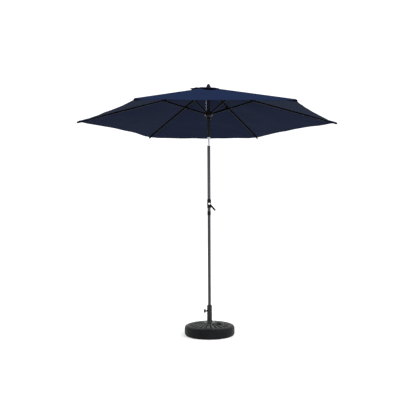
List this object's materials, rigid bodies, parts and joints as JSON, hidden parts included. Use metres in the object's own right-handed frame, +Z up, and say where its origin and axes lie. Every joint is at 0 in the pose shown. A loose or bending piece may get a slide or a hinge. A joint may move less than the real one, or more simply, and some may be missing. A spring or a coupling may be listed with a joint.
{
  "type": "patio umbrella with base",
  "caption": "Crank-lift patio umbrella with a six-sided navy canopy, vented top and tilting dark pole, standing in a round fillable base.",
  "frame": {"origin": "bottom centre of the base, on the pole's axis", "axes": "+Z up the pole; +X towards one rib tip, which is the canopy's widest direction; -Y is the crank's side"},
  "size_m": [2.6006, 2.2576, 2.507],
  "materials": {
    "moulded_tank": "black blow-moulded polyethylene with a fine moulded grain",
    "dark_steel": "dark grey powder-coated steel",
    "black_steel": "black powder-coated steel",
    "black_plastic": "black moulded plastic",
    "zinc": "bright zinc-plated steel",
    "chrome": "polished chrome",
    "navy_fabric": "navy woven polyester",
    "grey_cord": "light grey braided cord",
    "grey_nylon": "light grey nylon",
    "seal_rubber": "soft black rubber"
  },
  "bodies": {
    "base": {"base_tank": "moulded_tank", "base_tube": "dark_steel", "foot_collar": "black_plastic"},
    "clamp": {"clamp_screw": "zinc", "clamp_knob": "black_plastic"},
    "cap_seal": {"filler_seal": "seal_rubber"},
    "cap": {"filler_cap": "black_plastic"},
    "bush": {"top_bush": "black_plastic"},
    "mast": {"pole_end_plug": "black_plastic", "lower_pole": "dark_steel", "pole_coupler": "black_plastic", "middle_pole": "dark_steel", "mast_screws": "zinc", "housing_front": "black_plastic", "housing_rear": "black_plastic", "tilt_tongue": "zinc", "lift_cord_lower": "grey_cord"},
    "crank": {"crank_axle": "zinc", "crank_spool": "grey_nylon", "crank_arm": "black_steel", "crank_hub_cap": "chrome", "crank_grip_pin": "zinc"},
    "grip": {"crank_grip": "black_plastic"},
    "head": {"tilt_fork": "zinc", "tilt_pins": "zinc", "tilt_spring": "zinc", "upper_pole": "dark_steel", "top_hub": "black_plastic", "hub_pins": "zinc", "finial": "black_plastic", "lift_cord": "grey_cord", "vent_canopy": "navy_fabric"},
    "button": {"tilt_button": "black_plastic"},
    "pulley": {"pulley": "grey_nylon"},
    "runner": {"runner": "black_plastic", "runner_collar": "grey_nylon"},
    "rib_1": {"rib_1": "black_steel", "rib_fittings_1": "black_plastic", "canopy_panel_1": "navy_fabric"},
    "strut_1": {"strut_1": "black_steel"},
    "rib_2": {"rib_2": "black_steel", "rib_fittings_2": "black_plastic", "canopy_panel_2": "navy_fabric"},
    "strut_2": {"strut_2": "black_steel"},
    "rib_3": {"rib_3": "black_steel", "rib_fittings_3": "black_plastic", "canopy_panel_3": "navy_fabric"},
    "strut_3": {"strut_3": "black_steel"},
    "rib_4": {"rib_4": "black_steel", "rib_fittings_4": "black_plastic", "canopy_panel_4": "navy_fabric"},
    "strut_4": {"strut_4": "black_steel"},
    "rib_5": {"rib_5": "black_steel", "rib_fittings_5": "black_plastic", "canopy_panel_5": "navy_fabric"},
    "strut_5": {"strut_5": "black_steel"},
    "rib_6": {"rib_6": "black_steel", "rib_fittings_6": "black_plastic", "canopy_panel_6": "navy_fabric"},
    "strut_6": {"strut_6": "black_steel"}
  },
  "joints": [
    {"name": "clamp_turn", "type": "hinge", "parent": "base", "child": "clamp", "pos_m": [-0.045, 0, 0.237], "axis": [-1, 0, 0], "range_deg": [0, 1080]},
    {"name": "cap_lift", "type": "slide", "parent": "base", "child": "cap_seal", "axis": [0, 0, 1], "range_m": [0, 0.06]},
    {"name": "cap_turn", "type": "hinge", "parent": "cap_seal", "child": "cap", "pos_m": [0.088, -0.06, 0.122], "axis": [0, 0, 1], "range_deg": [0, 720]},
    {"name": "pole_turn", "type": "hinge", "parent": "base", "child": "bush", "pos_m": [0, 0, 0.29], "axis": [0, 0, 1], "continuous": true},
    {"name": "pole_lift", "type": "slide", "parent": "bush", "child": "mast", "axis": [0, 0, 1], "range_m": [0, 0.25]},
    {"name": "tilt", "type": "hinge", "parent": "mast", "child": "head", "pos_m": [0, 0, 1.927], "axis": [0, 1, 0], "range_deg": [0, 32]},
    {"name": "tilt_button_press", "type": "slide", "parent": "head", "child": "button", "axis": [0, 1, 0], "range_m": [0, 0.003], "stiffness_N_per_m": 600, "deforming": ["tilt_spring"]},
    {"name": "runner_slide", "type": "slide", "parent": "head", "child": "runner", "axis": [0, 0, 1], "range_m": [-0.5696, 0], "deforming": ["lift_cord", "vent_canopy", "canopy_panel_1", "canopy_panel_2", "canopy_panel_3", "canopy_panel_4", "canopy_panel_5", "canopy_panel_6"]},
    {"name": "rib_1_fold", "type": "hinge", "parent": "head", "child": "rib_1", "pos_m": [0.04, 0, 2.448], "axis": [0, 1, 0], "range_deg": [0, 69.66]},
    {"name": "strut_1_fold", "type": "hinge", "parent": "rib_1", "child": "strut_1", "pos_m": [0.42725, 0, 2.32828], "axis": [0, 1, 0], "range_deg": [-139.24, 0]},
    {"name": "rib_2_fold", "type": "hinge", "parent": "head", "child": "rib_2", "pos_m": [0.02, 0.03464, 2.448], "axis": [-0.866, 0.5, 0], "range_deg": [0, 69.66]},
    {"name": "strut_2_fold", "type": "hinge", "parent": "rib_2", "child": "strut_2", "pos_m": [0.21363, 0.37001, 2.32828], "axis": [-0.866, 0.5, 0], "range_deg": [-139.24, 0]},
    {"name": "rib_3_fold", "type": "hinge", "parent": "head", "child": "rib_3", "pos_m": [-0.02, 0.03464, 2.448], "axis": [-0.866, -0.5, 0], "range_deg": [0, 69.66]},
    {"name": "strut_3_fold", "type": "hinge", "parent": "rib_3", "child": "strut_3", "pos_m": [-0.21363, 0.37001, 2.32828], "axis": [-0.866, -0.5, 0], "range_deg": [-139.24, 0]},
    {"name": "rib_4_fold", "type": "hinge", "parent": "head", "child": "rib_4", "pos_m": [-0.04, 0, 2.448], "axis": [0, -1, 0], "range_deg": [0, 69.66]},
    {"name": "strut_4_fold", "type": "hinge", "parent": "rib_4", "child": "strut_4", "pos_m": [-0.42725, 0, 2.32828], "axis": [0, -1, 0], "range_deg": [-139.24, 0]},
    {"name": "rib_5_fold", "type": "hinge", "parent": "head", "child": "rib_5", "pos_m": [-0.02, -0.03464, 2.448], "axis": [0.866, -0.5, 0], "range_deg": [0, 69.66]},
    {"name": "strut_5_fold", "type": "hinge", "parent": "rib_5", "child": "strut_5", "pos_m": [-0.21363, -0.37001, 2.32828], "axis": [0.866, -0.5, 0], "range_deg": [-139.24, 0]},
    {"name": "rib_6_fold", "type": "hinge", "parent": "head", "child": "rib_6", "pos_m": [0.02, -0.03464, 2.448], "axis": [0.866, 0.5, 0], "range_deg": [0, 69.66]},
    {"name": "strut_6_fold", "type": "hinge", "parent": "rib_6", "child": "strut_6", "pos_m": [0.21363, -0.37001, 2.32828], "axis": [0.866, 0.5, 0], "range_deg": [-139.24, 0]},
    {"name": "pulley_turn", "type": "hinge", "parent": "head", "child": "pulley", "pos_m": [-0.012, 0, 2.436], "axis": [0, 1, 0], "range_deg": [-2720.63, 1]},
    {"name": "crank_turn", "type": "hinge", "parent": "mast", "child": "crank", "pos_m": [0, 0, 1.308], "axis": [0, 1, 0], "range_deg": [-1, 2922]},
    {"name": "grip_spin", "type": "hinge", "parent": "crank", "child": "grip", "pos_m": [0.05577, -0.08, 1.24385], "axis": [0, 1, 0], "continuous": true}
  ],
  "couplings": [
    {"joint": "rib_1_fold", "follows": "runner_slide", "rad_per_m": -2.1343},
    {"joint": "strut_1_fold", "follows": "runner_slide", "rad_per_m": 4.2663},
    {"joint": "rib_2_fold", "follows": "runner_slide", "rad_per_m": -2.1343},
    {"joint": "strut_2_fold", "follows": "runner_slide", "rad_per_m": 4.2663},
    {"joint": "rib_3_fold", "follows": "runner_slide", "rad_per_m": -2.1343},
    {"joint": "strut_3_fold", "follows": "runner_slide", "rad_per_m": 4.2663},
    {"joint": "rib_4_fold", "follows": "runner_slide", "rad_per_m": -2.1343},
    {"joint": "strut_4_fold", "follows": "runner_slide", "rad_per_m": 4.2663},
    {"joint": "rib_5_fold", "follows": "runner_slide", "rad_per_m": -2.1343},
    {"joint": "strut_5_fold", "follows": "runner_slide", "rad_per_m": 4.2663},
    {"joint": "rib_6_fold", "follows": "runner_slide", "rad_per_m": -2.1343},
    {"joint": "strut_6_fold", "follows": "runner_slide", "rad_per_m": 4.2663},
    {"joint": "pulley_turn", "follows": "runner_slide", "rad_per_m": 83.333},
    {"joint": "crank_turn", "follows": "runner_slide", "rad_per_m": -89.504}
  ]
}
